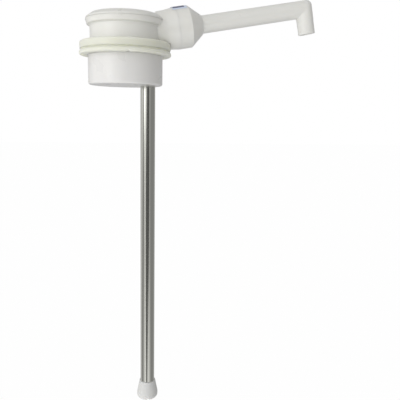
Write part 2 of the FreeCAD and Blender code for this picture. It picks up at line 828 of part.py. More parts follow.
slots = [
    box("foot_slot_x", slot_long, slot_wide, slot_high, d.tube_offset - slot_long / 2,
        -slot_wide / 2, d.foot_tip - PAST),
    box("foot_slot_y", slot_wide, slot_long, slot_high, d.tube_offset - slot_wide / 2,
        -slot_long / 2, d.foot_tip - PAST),
]
keep(cut("foot", foot_blank, foot_socket, ball_room, foot_inlet, *slots))

seat_gap = 0.3
ball_rest = (d.ball_radius.value**2 - d.foot_port.value**2) ** 0.5 + seat_gap
ball = doc.addObject("Part::Sphere", "foot_ball")
bind(ball, Radius=d.ball_radius)
keep(place(ball, d.tube_offset, 0, d.foot_seat + ball_rest))
ball_stop_height = d.foot_seat + ball_rest + d.ball_radius + d.ball_lift + seat_gap
cage_bore_radius = d.ball_radius + 0.7
cage_roof = 1.6
bar_width = 2.6
block = 20
cage_blank = cylinder("ball_cage_blank", d.tube_bore - d.slip, d.tube_end,
                      ball_stop_height + cage_roof, d.tube_offset)
cage_room = cylinder("ball_cage_room", cage_bore_radius, d.tube_end - PAST, ball_stop_height,
                     d.tube_offset)
cage_sides = [
    box(f"ball_cage_side_{name}", block, block, block / 2, d.tube_offset - block / 2, low,
        ball_stop_height)
    for name, low in (("left", bar_width / 2), ("right", -block - bar_width / 2))
]
cage_bore = cylinder("ball_cage_bore", cage_bore_radius, ball_stop_height - PAST,
                     ball_stop_height + 3 * PAST, d.tube_offset)
cage_bar = box("ball_cage_bar", block, bar_width, block / 4, d.tube_offset - block / 2,
               -bar_width / 2, ball_stop_height - PAST)
cage_opening = cut("ball_cage_opening", cage_bore, cage_bar)
keep(cut("ball_cage", cage_blank, cage_room, cage_opening))


# ---------------------------------------------------------------- outlet housing and valve

socket_gap = 0.3
housing_round = 0.35
housing_seal_station = d.socket + 4
housing_seal_thickness = 0.85
housing_groove_depth = 0.9
spigot_end = d.socket + socket_gap
valve_bore = d.valve_bore
housing_blank = turned("outlet_housing_blank", [
    (valve_bore, spigot_end),
    (d.socket_radius - d.slip, spigot_end),
    (d.socket_radius - d.slip, d.seam),
    (d.housing_radius, d.seam),
    (d.housing_radius, d.housing_end),
    (d.cone_end_radius, d.cone_end),
    (d.arm_radius + d.running, d.cone_end),
    (d.arm_radius + d.running, d.gland_step),
    (d.neck_radius + d.running, d.gland_step),
    (d.neck_radius + d.running, d.gland_base),
    (valve_bore, d.gland_base),
])
soften(housing_blank, housing_round, (d.housing_radius, d.housing_end),
       (d.cone_end_radius, d.cone_end))
seal_groove = torus("housing_seal_groove", d.socket_radius, housing_groove_depth,
                    housing_seal_station)
keep(on_arm(cut("outlet_housing", housing_blank, seal_groove)))
seal_ring = torus("housing_seal_ring", d.socket_radius, housing_seal_thickness, housing_seal_station)
seal_trim_length = 8
seal_trim = cut("housing_seal_trim",
                cylinder("housing_seal_outside", d.socket_radius + 3 * PAST, d.socket,
                         d.socket + seal_trim_length),
                cylinder("housing_seal_inside", d.socket_radius - d.slip, d.socket - PAST,
                         d.socket + seal_trim_length + PAST))
keep(on_arm(cut("housing_seal", seal_ring, seal_trim)))

seat_base = d.socket + 1
seat_top = seat_base + 3
seat_bore = 7
seat_mouth = 8.4
seat_bevel = 1.4
keep(on_arm(turned("valve_seat", [
    (seat_bore, seat_base),
    (valve_bore - d.slip, seat_base),
    (valve_bore - d.slip, seat_top),
    (seat_mouth, seat_top),
    (seat_bore, seat_top - seat_bevel),
])))
poppet_base = seat_top + 0.1
poppet_back = poppet_base + 2.4
guide_base = d.seam + 5.5
guide_top = guide_base + 2.4
poppet_nose = poppet_base - 1.2
nose_radius = 6.0
nose_root = 6.9
poppet_radius = 9.6
stem_radius = 2.0
stem_end = guide_top + 0.3
poppet = turned("valve_poppet", [
    (0, poppet_nose),
    (nose_radius, poppet_nose),
    (nose_root, poppet_base),
    (poppet_radius, poppet_base),
    (poppet_radius, poppet_back),
    (stem_radius, poppet_back),
    (stem_radius, stem_end),
    (0, stem_end),
])
keep(on_arm(poppet))
guide_blank = cylinder("valve_guide_blank", valve_bore - d.slip, guide_base, guide_top)
guide_bore = cylinder("valve_guide_bore", stem_radius + d.running, guide_base - PAST, guide_top + PAST)
guide_port_pitch = 8.4
guide_port_radius = 3.2
guide_ports = around(
    "valve_guide_ports", guide_port_pitch, [30, 150, 270],
    lambda name: cylinder(name, guide_port_radius, guide_base - PAST, guide_top + PAST))
keep(on_arm(cut("valve_guide", guide_blank, guide_bore, guide_ports)))

spring_wire = 0.4
spring_radius = 4.0
spring_turns = 3
spring_gap = 0.05
spring_base = poppet_back + spring_wire + spring_gap
spring_height = (guide_base - spring_wire - spring_gap - spring_base).value


def spring_coil(number, rise):
    """Half a turn, from one side of the arm's plane to the other, climbing by rise.

    Each half lies in a plane that leans about Y, one way and then the other, so that the halves
    meet with one tangent.
    """
    half = doc.addObject("Part::Torus", f"spring_coil_{number}")
    reach = math.hypot(spring_radius, rise / 2)
    bind(half, Radius1=reach, Radius2=spring_wire, Angle3=180)
    lean = math.degrees(math.atan2(rise / 2, spring_radius))
    odd = number % 2
    turn = FreeCAD.Rotation(FreeCAD.Vector(0, 1, 0), -lean if odd else lean)
    half_way_round = FreeCAD.Rotation(FreeCAD.Vector(0, 0, 1), 180 * odd)
    half.Placement.Rotation = turn * half_way_round
    half.Placement.Base = FreeCAD.Vector(0, 0, (number + 0.5) * rise)
    return half


coils = 2 * spring_turns
spring = fuse("valve_spring", *[spring_coil(n, spring_height / coils) for n in range(coils)])
keep(on_arm(spring, spring_base))


# ---------------------------------------------------------------- spout

def mitred(name, radius, start_station, end_extra):
    """Arm and drop of one radius, joined at a 45 degree mitre through the elbow point.

    It lies in the arm's own frame: stations run up Z, and the drop runs along +X.
    """
    reach = Size.of(radius) * 2
    arm = cylinder(f"{name}_arm", radius, start_station, d.elbow + reach)
    down = doc.addObject("Part::Cylinder", f"{name}_drop")
    bind(down, Radius=radius, Height=d.drop + end_extra + reach)
    down.Placement.Rotation = FreeCAD.Rotation(FreeCAD.Vector(0, 1, 0), 90)
    place(down, -reach, 0, d.elbow)
    # Each tool is a big box on one side of the plane where x + station = elbow.
    half = 60
    slant = half / 2 ** 0.5
    beyond = box(f"{name}_beyond", 2 * half, 2 * half, 2 * half, -slant, -half,
                 d.elbow + slant)
    before = box(f"{name}_before", 2 * half, 2 * half, 2 * half, -3 * slant, -half,
                 d.elbow - slant)
    for tool in (beyond, before):
        tool.Placement.Rotation = FreeCAD.Rotation(FreeCAD.Vector(0, 1, 0), 45)
    return fuse(f"{name}_both", cut(f"{name}_arm_part", arm, beyond),
                cut(f"{name}_drop_part", down, before))


spout_end_reach = 3.4            # how far the spout's neck goes past the gland's base
neck_overlap = 0.2
block_width = 40
spout_start = d.gland_base - spout_end_reach
outer = mitred("spout_outside", d.arm_radius, d.gland_step + neck_overlap, 0)
corner_block = box("corner_block", d.drop + d.arm_radius, block_width,
                   d.elbow + d.arm_radius, -d.arm_radius, -block_width / 2, 0)
doc.recompute()
corner_height = (d.elbow + d.arm_radius).value
corner = [
    number for number, item in enumerate(corner_block.Shape.Edges, start=1)
    if abs(item.CenterOfMass.x + d.arm_radius.value) < 0.01
    and abs(item.CenterOfMass.z - corner_height) < 0.01
]
round_block = doc.addObject("Part::Fillet", "round_block")
round_block.Base = corner_block
round_block.Edges = [(number, d.elbow_round.value, d.elbow_round.value) for number in corner]
rounded_outer = common("spout_rounded", outer, round_block)
neck = cylinder("spout_neck", d.neck_radius, spout_start, d.gland_step + PAST)
spout_bore = mitred("spout_bore", d.arm_bore, spout_start - PAST, PAST)


def on_drop(solid, base):
    """Lay an upright solid along the drop, with its own base at a distance from the arm."""
    solid.Placement.Rotation = FreeCAD.Rotation(FreeCAD.Vector(0, 1, 0), 90)
    return place(solid, base, 0, d.elbow)


land_start = d.drop - d.land_length
mouth_socket = on_drop(cylinder("mouth_socket", d.mouth_radius, 0, d.land_length + PAST),
                       land_start)
land_trim = cut(
    "land_trim",
    on_drop(cylinder("land_trim_outside", d.arm_radius + 2, 0, d.land_length + PAST), land_start),
    on_drop(cylinder("land_trim_inside", d.land_radius, 0, d.land_length + 2 * PAST), land_start))
clip_base = d.gland_base - 1.5
clip_top = clip_base + 1.2
clip_groove_floor = d.neck_radius - 0.7
clip_outside = d.neck_radius + 2.4
clip_groove = cut(
    "clip_groove",
    cylinder("clip_groove_outside", clip_outside, clip_base - d.slip, clip_top + d.slip),
    cylinder("clip_groove_inside", clip_groove_floor, clip_base - PAST, clip_top + PAST))
spout_seal_station = d.gland_step + 3.5
spout_seal_thickness = 0.5
spout_groove_depth = 0.62
spout_groove = torus("spout_seal_groove", d.arm_radius - 0.45, spout_groove_depth,
                     spout_seal_station)
keep(on_arm(cut("spout", fuse("spout_solid", rounded_outer, neck), spout_bore, mouth_socket,
                land_trim, clip_groove, spout_groove)))
keep(on_arm(torus("spout_seal", d.arm_radius - spout_seal_thickness, spout_seal_thickness, 0),
            spout_seal_station))
clip_blank = cut(
    "clip_blank",
    cylinder("clip_outside", clip_outside, clip_base, clip_top),
    cylinder("clip_inside", clip_groove_floor + d.slip, clip_base - PAST, clip_top + PAST))
clip_opening = 5
clip_gap = box("clip_gap", block_width / 2, clip_opening, clip_opening, 0, -clip_opening / 2,
               clip_base - PAST)
keep(on_arm(cut("spout_clip", clip_blank, clip_gap)))


# ---------------------------------------------------------------- blank label

# The film is stuck across the seam between the stub and the housing.
label_outside = cylinder("label_outside", d.stub_radius + d.label_film, d.label_start,
                         d.label_end)
label_inside = cylinder("label_inside", d.stub_radius, d.stub_waist, d.cone_end)
label_band = cut("label_band", label_outside, label_inside)
label_field = box("label_field", d.housing_radius + PAST, d.label_width, d.housing_end,
                  -(d.housing_radius + PAST), -0.5 * d.label_width, 0)
keep(on_arm(common("colour_label", label_band, label_field)))


# ---------------------------------------------------------------- check and write

doc.recompute()
for item in doc.Objects:
    if "Invalid" in item.State or "Error" in item.State:
        raise RuntimeError(f"{item.Name} is {item.State}")
os.makedirs("parts", exist_ok=True)
for node in NODES:
    if node.Shape.isNull() or not node.Shape.isValid():
        raise RuntimeError(f"{node.Label} has no valid shape")
    node.Shape.exportStep(f"parts/{node.Label}.step")
    bounds = node.Shape.BoundBox
    print(f"{node.Label:20s} {len(node.Shape.Solids)} solid(s) {node.Shape.Volume:10.1f} mm3  "
          f"x {bounds.XMin:7.1f} {bounds.XMax:7.1f}  z {bounds.ZMin:7.1f} {bounds.ZMax:7.1f}")
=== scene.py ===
# %% [markdown]
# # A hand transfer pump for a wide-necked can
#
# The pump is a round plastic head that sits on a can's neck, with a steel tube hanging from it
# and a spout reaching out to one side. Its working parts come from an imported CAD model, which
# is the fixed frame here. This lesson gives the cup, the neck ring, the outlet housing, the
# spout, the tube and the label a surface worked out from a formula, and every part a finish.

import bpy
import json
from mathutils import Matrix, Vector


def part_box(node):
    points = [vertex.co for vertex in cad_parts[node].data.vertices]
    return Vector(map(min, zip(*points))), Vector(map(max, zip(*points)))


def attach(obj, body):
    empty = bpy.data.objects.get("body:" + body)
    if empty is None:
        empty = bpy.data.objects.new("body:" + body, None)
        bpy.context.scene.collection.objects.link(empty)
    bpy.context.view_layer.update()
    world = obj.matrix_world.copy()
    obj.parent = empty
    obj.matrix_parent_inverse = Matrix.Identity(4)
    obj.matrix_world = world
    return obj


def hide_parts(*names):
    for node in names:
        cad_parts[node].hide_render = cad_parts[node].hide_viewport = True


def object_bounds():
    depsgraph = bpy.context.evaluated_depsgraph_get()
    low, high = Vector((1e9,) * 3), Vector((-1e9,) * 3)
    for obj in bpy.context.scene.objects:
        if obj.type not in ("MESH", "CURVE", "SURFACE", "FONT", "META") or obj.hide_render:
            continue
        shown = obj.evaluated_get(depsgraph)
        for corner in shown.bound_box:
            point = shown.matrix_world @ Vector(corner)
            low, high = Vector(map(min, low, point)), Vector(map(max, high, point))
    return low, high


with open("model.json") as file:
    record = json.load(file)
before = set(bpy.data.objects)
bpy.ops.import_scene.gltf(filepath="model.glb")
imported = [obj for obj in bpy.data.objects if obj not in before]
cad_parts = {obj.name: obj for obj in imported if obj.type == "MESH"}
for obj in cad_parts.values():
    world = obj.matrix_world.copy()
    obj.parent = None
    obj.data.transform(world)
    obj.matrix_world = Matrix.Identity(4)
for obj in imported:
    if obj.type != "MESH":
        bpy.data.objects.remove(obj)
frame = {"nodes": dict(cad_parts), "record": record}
cad_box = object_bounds()
print("parts in the frame:", len(frame["nodes"]))

# %% [markdown]
# ## Tools and units
#
# Blender works in metres and the pump's sizes are millimetres, so lengths are written as a
# number times MM. Positions come from the CAD boxes wherever a box gives them.

# %% Imports and sizes
import json
import math

import bmesh
import bpy
import numpy as np
from mathutils import Matrix, Vector

MM = 0.001

nodes = frame["nodes"]
cup_low, cup_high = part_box("spigot_cup")
tube_low, tube_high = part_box("suction_tube")
print("whole pump", [round(v, 4) for v in cad_box[0]], [round(v, 4) for v in cad_box[1]])

# %% [markdown]
# ## The spout's axis
#
# The outlet, the housing and the spout share one axis. It crosses the head's axis at a known
# height and climbs 11 degrees towards the spout's end. A station is a distance along it. Shapes
# on it are made about Z first, and then carried onto the axis by one matrix, so that heights
# become stations and the direction of X becomes the way the spout turns down.

# %% The arm's axis
ARM_HEIGHT = 20.66 * MM
ARM_TILT = math.radians(11.0)
ARM_RADIUS = 9.53 * MM
SEAM = 55.7 * MM
HOUSING_END = 69.5 * MM
HOUSING_RADIUS = 22.0 * MM
CONE_END = 83.3 * MM
CONE_END_RADIUS = 10.65 * MM
ELBOW = 203.2 * MM
DROP = 27.5 * MM

arm_matrix = (Matrix.Translation((0, 0, ARM_HEIGHT))
              @ Matrix.Rotation(math.pi / 2 - ARM_TILT, 4, "Y"))
arm_turn = np.array(arm_matrix.to_3x3())
arm_start = np.array(arm_matrix.translation)


def onto_arm(points):
    """Each point is turned by the arm's rotation and moved by the arm's start."""
    return points @ arm_turn.T + arm_start


print("elbow at", onto_arm(np.array((0, 0, ELBOW))).round(4).tolist())

# %% [markdown]
# ## The camera
#
# The camera stands in front of the head, a little below its underside, and looks slightly down
# the tube. It is aimed by a heading, a dip and a small roll rather than at a target, so that the
# long tube leans exactly as much as perspective makes it.

# %% Camera
CAMERA_PLACE = Vector((-37.8, -571.9, -63.0)) * MM
HEADING = math.radians(12.03)
DIP = math.radians(9.11)
ROLL = math.radians(1.03)
LENS = 46.37

camera_data = bpy.data.cameras.new("camera")
camera_data.lens = LENS
camera_data.sensor_width = 36.0
camera_data.clip_start = 0.01
camera_data.clip_end = 60.0
camera = bpy.data.objects.new("camera", camera_data)
bpy.context.scene.collection.objects.link(camera)
forward = Vector((math.cos(DIP) * math.sin(HEADING), math.cos(DIP) * math.cos(HEADING),
                  -math.sin(DIP)))
level_right = Vector((math.cos(HEADING), -math.sin(HEADING), 0))
level_up = level_right.cross(forward)
right = math.cos(ROLL) * level_right + math.sin(ROLL) * level_up
up = math.cos(ROLL) * level_up - math.sin(ROLL) * level_right
camera.matrix_world = Matrix((
    (right.x, up.x, -forward.x, CAMERA_PLACE.x),
    (right.y, up.y, -forward.y, CAMERA_PLACE.y),
    (right.z, up.z, -forward.z, CAMERA_PLACE.z),
    (0, 0, 0, 1),
))
bpy.context.scene.camera = camera
print("camera stands", [round(v, 3) for v in camera.location], "lens", LENS)

# %% [markdown]
# ## Building node trees
#
# The studio and every finish are node trees. Four short helpers clear a tree, add a node, link
# sockets and make a colour ramp, so that a recipe below takes a few lines.

# %% Helpers for node trees
def tree_of(owner):
    """Empty node tree of a material or a world, ready to fill."""
    owner.use_nodes = True
    owner.node_tree.nodes.clear()
    return owner.node_tree


def node(tree, kind, **settings):
    """New node with its settings and input values; an input is named in_ and its number."""
    made = tree.nodes.new(kind)
    for key, value in settings.items():
        if key.startswith("in_"):
            made.inputs[int(key[3:])].default_value = value
        else:
            setattr(made, key, value)
    return made


def join(tree, *sockets):
    """Link sockets in pairs: from, to, from, to."""
    for start, end in zip(sockets[::2], sockets[1::2]):
        tree.links.new(start, end)


def ramp(tree, stops, factor):
    """Colour ramp from (position, colour) stops, driven by a factor."""
    made = tree.nodes.new("ShaderNodeValToRGB")
    for element, (position, colour) in zip(made.color_ramp.elements, stops):
        element.position = position
        element.color = (*colour, 1)
    tree.links.new(factor, made.inputs[0])
    return made


print("node helpers:", [helper.__name__ for helper in (tree_of, node, join, ramp)])

# %% [markdown]
# ## Studio
#
# The pump stands in a white tent, so light comes from every side, from below too, and nothing
# throws a hard shadow. The tent is a world whose brightness depends only on the direction: an
# even base, with soft cones of light added to it or taken from it.
#
# A direction is easiest to give from the camera's side: how far it lies to the right of the way
# back to the camera, and how high. How far any direction lies inside a cone comes from the
# cosine between the two.

# %% Directions and cones
scene = bpy.context.scene
scene.view_settings.view_transform = "Standard"
world = bpy.data.worlds.new("studio")
scene.world = world
studio = tree_of(world)
sky = node(studio, "ShaderNodeTexCoord").outputs["Generated"]
level_back = Vector((-forward.x, -forward.y, 0)).normalized()


def compass(degrees, height):
    """Direction at an angle to the right of the way back to the camera, and at a height."""
    turn = math.radians(degrees)
    level = level_right * math.sin(turn) + level_back * math.cos(turn)
    return Vector((level.x, level.y, height)).normalized()


def cone(direction, start, full):
    """Share from 0 to 1 of the sky's direction in a soft cone; both limits are cosines."""
    product = node(studio, "ShaderNodeVectorMath", operation="DOT_PRODUCT")
    product.inputs[1].default_value = direction
    soft = node(studio, "ShaderNodeMapRange", interpolation_type="SMOOTHERSTEP", in_1=start,
                in_2=full)
    join(studio, sky, product.inputs[0], product.outputs["Value"], soft.inputs[0])
    return soft.outputs[0]


def add_cone(total, direction, strength, start, full):
    """Brightness after a cone has added its strength; the first one adds to the base."""
    share = node(studio, "ShaderNodeMath", operation="MULTIPLY_ADD", in_1=strength,
                 in_2=SKY_BASE)
    join(studio, cone(direction, start, full), share.inputs[0])
    if total is not None:
        join(studio, total, share.inputs[2])
    return share.outputs[0]


print("way back to the camera", [round(v, 3) for v in level_back])

# %% [markdown]
# ### Light
#
# A broad cone on the left shapes the head, which fades from left to right. A small strong one
# draws the bright line down the polished tube. Others above and below lift the crown and the
# undersides, and the last one takes light away on the right.

# %% Light of the tent
SKY_BASE = 0.655
LAMPS = [
    # direction, strength, where the soft edge starts and where the cone is full
    (compass(-50, -0.04), 0.68, 0.02, 0.97),
    (compass(-44, 0.20), 2.0, 0.962, 0.990),
    (compass(0, 0.8), 0.18, 0.35, 0.95),
    (compass(-8, -1.3), 0.55, 0.40, 0.95),
    (compass(85, 0.0), -0.24, 0.40, 0.98),
]
soft_light = None
for lamp in LAMPS:
    soft_light = add_cone(soft_light, *lamp)
print("cones of light:", len(LAMPS))

# %% [markdown]
# ### Dark cloths
#
# Polished steel looks dark only where it mirrors something dark. So a soft dark patch hangs on
# the left, and a slanting strip in front draws the dark line down the tube. Only reflections see
# the two, so they take no light from the white plastic. The strip follows the great circle
# through two directions: its darkness depends on the angle off that circle's plane, and a cone
# limits its length. The camera itself sees plain white behind the object.

# %% Cloths that only reflections see
PATCH_DARKNESS = 0.95
STRIP_DARKNESS = 0.90
STRIP_EDGE = 0.42
STRIP_CORE = 0.20
patched = add_cone(soft_light, compass(-68, -0.45), -PATCH_DARKNESS, 0.80, 0.97)
strip_side = compass(25, 0.03).cross(compass(-5, -0.24)).normalized()
off_plane = node(studio, "ShaderNodeVectorMath", operation="DOT_PRODUCT")
off_plane.inputs[1].default_value = strip_side
distance_off = node(studio, "ShaderNodeMath", operation="ABSOLUTE")
strip_width = node(studio, "ShaderNodeMapRange", interpolation_type="SMOOTHERSTEP",
                   in_1=STRIP_EDGE, in_2=STRIP_CORE, in_3=0.0, in_4=1.0)
strip_share = node(studio, "ShaderNodeMath", operation="MULTIPLY")
strip_left = node(studio, "ShaderNodeMath", operation="MULTIPLY_ADD", in_1=-STRIP_DARKNESS,
                  in_2=1.0)
mirrored = node(studio, "ShaderNodeMath", operation="MULTIPLY")
join(studio, sky, off_plane.inputs[0], off_plane.outputs["Value"], distance_off.inputs[0],
     distance_off.outputs[0], strip_width.inputs[0], strip_width.outputs[0],
     strip_share.inputs[0], cone(compass(0, -0.12), 0.80, 0.93), strip_share.inputs[1],
     strip_share.outputs[0], strip_left.inputs[0], patched, mirrored.inputs[0],
     strip_left.outputs[0], mirrored.inputs[1])

seen = node(studio, "ShaderNodeLightPath")
brightness = node(studio, "ShaderNodeMix", data_type="FLOAT")
lit = node(studio, "ShaderNodeBackground")
plain = node(studio, "ShaderNodeBackground", in_0=(1, 1, 1, 1), in_1=1.0)
choose = node(studio, "ShaderNodeMixShader")
sky_out = node(studio, "ShaderNodeOutputWorld")
join(studio, seen.outputs["Is Glossy Ray"], brightness.inputs[0], soft_light,
     brightness.inputs[2], mirrored.outputs[0], brightness.inputs[3], brightness.outputs[0],
     lit.inputs[1], seen.outputs["Is Camera Ray"], choose.inputs[0], lit.outputs[0],
     choose.inputs[1], plain.outputs[0], choose.inputs[2], choose.outputs[0],
     sky_out.inputs[0])
print("studio nodes:", len(studio.nodes))

# %% [markdown]
# ### Floor
#
# A wide pale sheet lies just under the foot. For the camera it mostly glows, so that it runs
# into the white behind it without a line. The tent lights the pump from below as well, so only
# the camera sees this sheet.

# %% Floor
FLOOR_REACH = 6.0
FLOOR_DROP = 0.5 * MM
FLOOR_GLOW = 0.985
floor_mesh = bpy.data.meshes.new("floor")
floor_height = cad_box[0][2] - FLOOR_DROP
corners = [(x * FLOOR_REACH, y * FLOOR_REACH, floor_height)
           for x, y in ((-1, -1), (1, -1), (1, 1), (-1, 1))]
floor_mesh.from_pydata(corners, [], [(0, 1, 2, 3)])
floor = bpy.data.objects.new("floor", floor_mesh)
scene.collection.objects.link(floor)
floor_paint = bpy.data.materials.new("floor_paper")
paper = tree_of(floor_paint)
paper_diffuse = node(paper, "ShaderNodeBsdfDiffuse", in_0=(0.72, 0.72, 0.71, 1))
paper_glow = node(paper, "ShaderNodeEmission", in_0=(1, 1, 1, 1), in_1=1.0)
paper_seen = node(paper, "ShaderNodeLightPath")
paper_share = node(paper, "ShaderNodeMath", operation="MULTIPLY", in_1=FLOOR_GLOW)
paper_mix = node(paper, "ShaderNodeMixShader")
paper_out = node(paper, "ShaderNodeOutputMaterial")
join(paper, paper_seen.outputs["Is Camera Ray"], paper_share.inputs[0],
     paper_share.outputs[0], paper_mix.inputs[0],
     paper_diffuse.outputs[0], paper_mix.inputs[1], paper_glow.outputs[0], paper_mix.inputs[2],
     paper_mix.outputs[0], paper_out.inputs[0])
floor_mesh.materials.append(floor_paint)
floor.visible_diffuse = False
floor.visible_glossy = False
print("floor lies at", round(floor_height, 4))

# %% [markdown]
# ## Finishes
#
# Every finish is built from the same few steps: a base colour that drifts a little over the
# piece, a roughness that drifts too, and a fine bump. What differs is the scale and the
# direction. Moulded plastic is cloudy and faintly dimpled, a drawn tube is streaked along its
# length, and an elastomer ring lets light in. Patterns read Object coordinates, which stay with
# the piece because every mesh holds its own place.

# %% Making a finish
def shader(name, colour, roughness, metallic=0.0, coat=0.0, coat_roughness=0.1, glow=0.0,
           glow_reach=(1, 1, 1), glow_scale=4):
    """New material, with its tree, its Principled shader and its object coordinates."""
    made = bpy.data.materials.new(name)
    tree = tree_of(made)
    skin = tree.nodes.new("ShaderNodeBsdfPrincipled")
    skin.inputs["Base Color"].default_value = (*colour, 1)
    skin.inputs["Roughness"].default_value = roughness
    skin.inputs["Metallic"].default_value = metallic
    skin.inputs["Coat Weight"].default_value = coat
    skin.inputs["Coat Roughness"].default_value = coat_roughness
    skin.inputs["Subsurface Weight"].default_value = glow
    skin.inputs["Subsurface Radius"].default_value = glow_reach
    skin.inputs["Subsurface Scale"].default_value = glow_scale * MM
    out = tree.nodes.new("ShaderNodeOutputMaterial")
    tree.links.new(skin.outputs[0], out.inputs[0])
    where = tree.nodes.new("ShaderNodeTexCoord").outputs["Object"]
    return made, tree, skin, where


def noise(tree, where, scale, detail=3.0, stretch=(1, 1, 1), roughness=0.5):
    """Noise of a given fineness, stretched by scaling the coordinates along each axis."""
    mapping = node(tree, "ShaderNodeMapping")
    mapping.inputs["Scale"].default_value = stretch
    cloud = node(tree, "ShaderNodeTexNoise")
    cloud.inputs["Scale"].default_value = scale
    cloud.inputs["Detail"].default_value = detail
    cloud.inputs["Roughness"].default_value = roughness
    join(tree, where, mapping.inputs["Vector"], mapping.outputs[0], cloud.inputs["Vector"])
    return cloud.outputs["Fac"]


def drift(tree, factor, low, high):
    """Map the usual span of a noise, 0.3 to 0.7, onto a number between low and high."""
    made = node(tree, "ShaderNodeMapRange", in_1=0.3, in_2=0.7, in_3=low, in_4=high)
    tree.links.new(factor, made.inputs[0])
    return made.outputs[0]


def bump(tree, height, skin, strength, depth, under=None):
    """Bump from a height socket; returns the bump so that another can lie on top of it."""
    made = node(tree, "ShaderNodeBump")
    made.inputs["Strength"].default_value = strength
    made.inputs["Distance"].default_value = depth
    tree.links.new(height, made.inputs["Height"])
    if under is not None:
        tree.links.new(under, made.inputs["Normal"])
    tree.links.new(made.outputs[0], skin.inputs["Normal"])
    return made.outputs[0]


print("finish helpers:", [helper.__name__ for helper in (shader, noise, drift, bump)])

# %% [markdown]
# ### White plastic
#
# The head, the housing and the spout are one white polypropylene. Straight from the mould it is
# semi-gloss and very slightly warm, and lets a little light in, which softens the shadows at
# its edges. The cup's white is cooler, the foot is duller, and the machined acetal inside has no
# gloss coat. One recipe makes all four, with colours and a roughness of their own.

# %% White plastic
def moulded(name, colour, shade, roughness, coat=0.25):
    """Injection-moulded plastic: cloudy colour, drifting gloss, fine dimples, soft waviness."""
    made, tree, skin, where = shader(name, colour, roughness, coat=coat, coat_roughness=0.10,
                                     glow=0.25, glow_reach=(1.0, 0.95, 0.85))
    cloud = noise(tree, where, scale=28, detail=4)
    tint = ramp(tree, [(0.30, shade), (0.70, colour)], cloud)
    tree.links.new(tint.outputs[0], skin.inputs["Base Color"])
    tree.links.new(drift(tree, noise(tree, where, scale=60, detail=3), roughness - 0.05,
                         roughness + 0.08), skin.inputs["Roughness"])
    wave = bump(tree, noise(tree, where, scale=45, detail=2), skin, strength=0.05,
                depth=0.5 * MM)
    bump(tree, noise(tree, where, scale=1500, detail=2), skin, strength=0.12,
         depth=0.03 * MM, under=wave)
    return made


white = moulded("white_polypropylene", (0.82, 0.815, 0.775), (0.80, 0.795, 0.755), 0.32)
white_cool = moulded("white_cup_plastic", (0.83, 0.82, 0.80), (0.81, 0.80, 0.78), 0.30)
foot_white = moulded("foot_plastic", (0.76, 0.76, 0.745), (0.70, 0.70, 0.685), 0.5, coat=0.05)
acetal = moulded("machined_acetal", (0.78, 0.77, 0.72), (0.72, 0.71, 0.66), 0.45, coat=0.0)
print("plastics:", [made.name for made in (white, white_cool, foot_white, acetal)])

# %% [markdown]
# ### The ring's elastomer
#
# A natural, uncoloured thermoplastic rubber: cloudy and greenish yellow, because light travels
# a long way inside it. All of its light is subsurface light here, with red and green travelling
# further than blue.

# %% Ring elastomer
def elastomer():
    """Cloudy natural rubber with deep subsurface light and a satin skin."""
    made, tree, skin, where = shader("natural_elastomer", (0.73, 0.735, 0.65), 0.42, coat=0.15,
                                     coat_roughness=0.3, glow=1.0,
                                     glow_reach=(1.0, 0.99, 0.86), glow_scale=9)
    cloud = noise(tree, where, scale=35, detail=4, stretch=(1, 1, 3))
    tint = ramp(tree, [(0.3, (0.71, 0.715, 0.62)), (0.7, (0.735, 0.74, 0.66))], cloud)
    tree.links.new(tint.outputs[0], skin.inputs["Base Color"])
    tree.links.new(drift(tree, noise(tree, where, scale=90), 0.36, 0.5),
                   skin.inputs["Roughness"])
    wave = bump(tree, noise(tree, where, scale=60, detail=2), skin, strength=0.15,
                depth=0.5 * MM)
    bump(tree, noise(tree, where, scale=1200, detail=2), skin, strength=0.2,
         depth=0.03 * MM, under=wave)
    return made


ring_rubber = elastomer()
print("ring finish:", ring_rubber.name)

# %% [markdown]
# ### Steel
#
# A drawn and polished tube shows faint lines along its length. Noise that is stretched a
# hundred times along Z gives them, in the roughness and in a very shallow bump. Turned hardware
# gets the same recipe without the stretch.

# %% Steel
def steel(name, colour, roughness, stretch, line_scale):
    """Bare steel whose polish lines follow the stretch of its noise."""
    made, tree, skin, where = shader(name, colour, roughness, metallic=1.0)
    lines = noise(tree, where, line_scale, detail=4, stretch=stretch, roughness=0.6)
    tree.links.new(drift(tree, lines, roughness - 0.04, roughness + 0.08),
                   skin.inputs["Roughness"])
    shade = tuple(0.86 * value for value in colour)
    tint = ramp(tree, [(0.35, shade), (0.6, colour)],
                noise(tree, where, scale=30, detail=3, stretch=stretch))
    tree.links.new(tint.outputs[0], skin.inputs["Base Color"])
    bump(tree, lines, skin, strength=0.08, depth=0.02 * MM)
    return made


tube_steel = steel("polished_tube", (0.62, 0.62, 0.575), 0.13, (1, 1, 0.01), 900)
turned_steel = steel("turned_hardware", (0.60, 0.60, 0.59), 0.25, (1, 1, 1), 400)
print("steels:", tube_steel.name, turned_steel.name)

# %% [markdown]
# ### Seals and label film
#
# The seals are black rubber with a dusty bloom, and sit inside the joints. The label is printed
# film: flat ink under a clear gloss, in two colours.

# %% Seals and the label film
def rubber():
    """Black seal rubber with a dusty bloom."""
    made, tree, skin, where = shader("seal_rubber", (0.02, 0.02, 0.02), 0.6)
    tint = ramp(tree, [(0.4, (0.015, 0.015, 0.016)), (0.75, (0.05, 0.05, 0.05))],
                noise(tree, where, scale=200, detail=4))
    tree.links.new(tint.outputs[0], skin.inputs["Base Color"])
    bump(tree, noise(tree, where, scale=2500), skin, strength=0.2, depth=0.05 * MM)
    return made


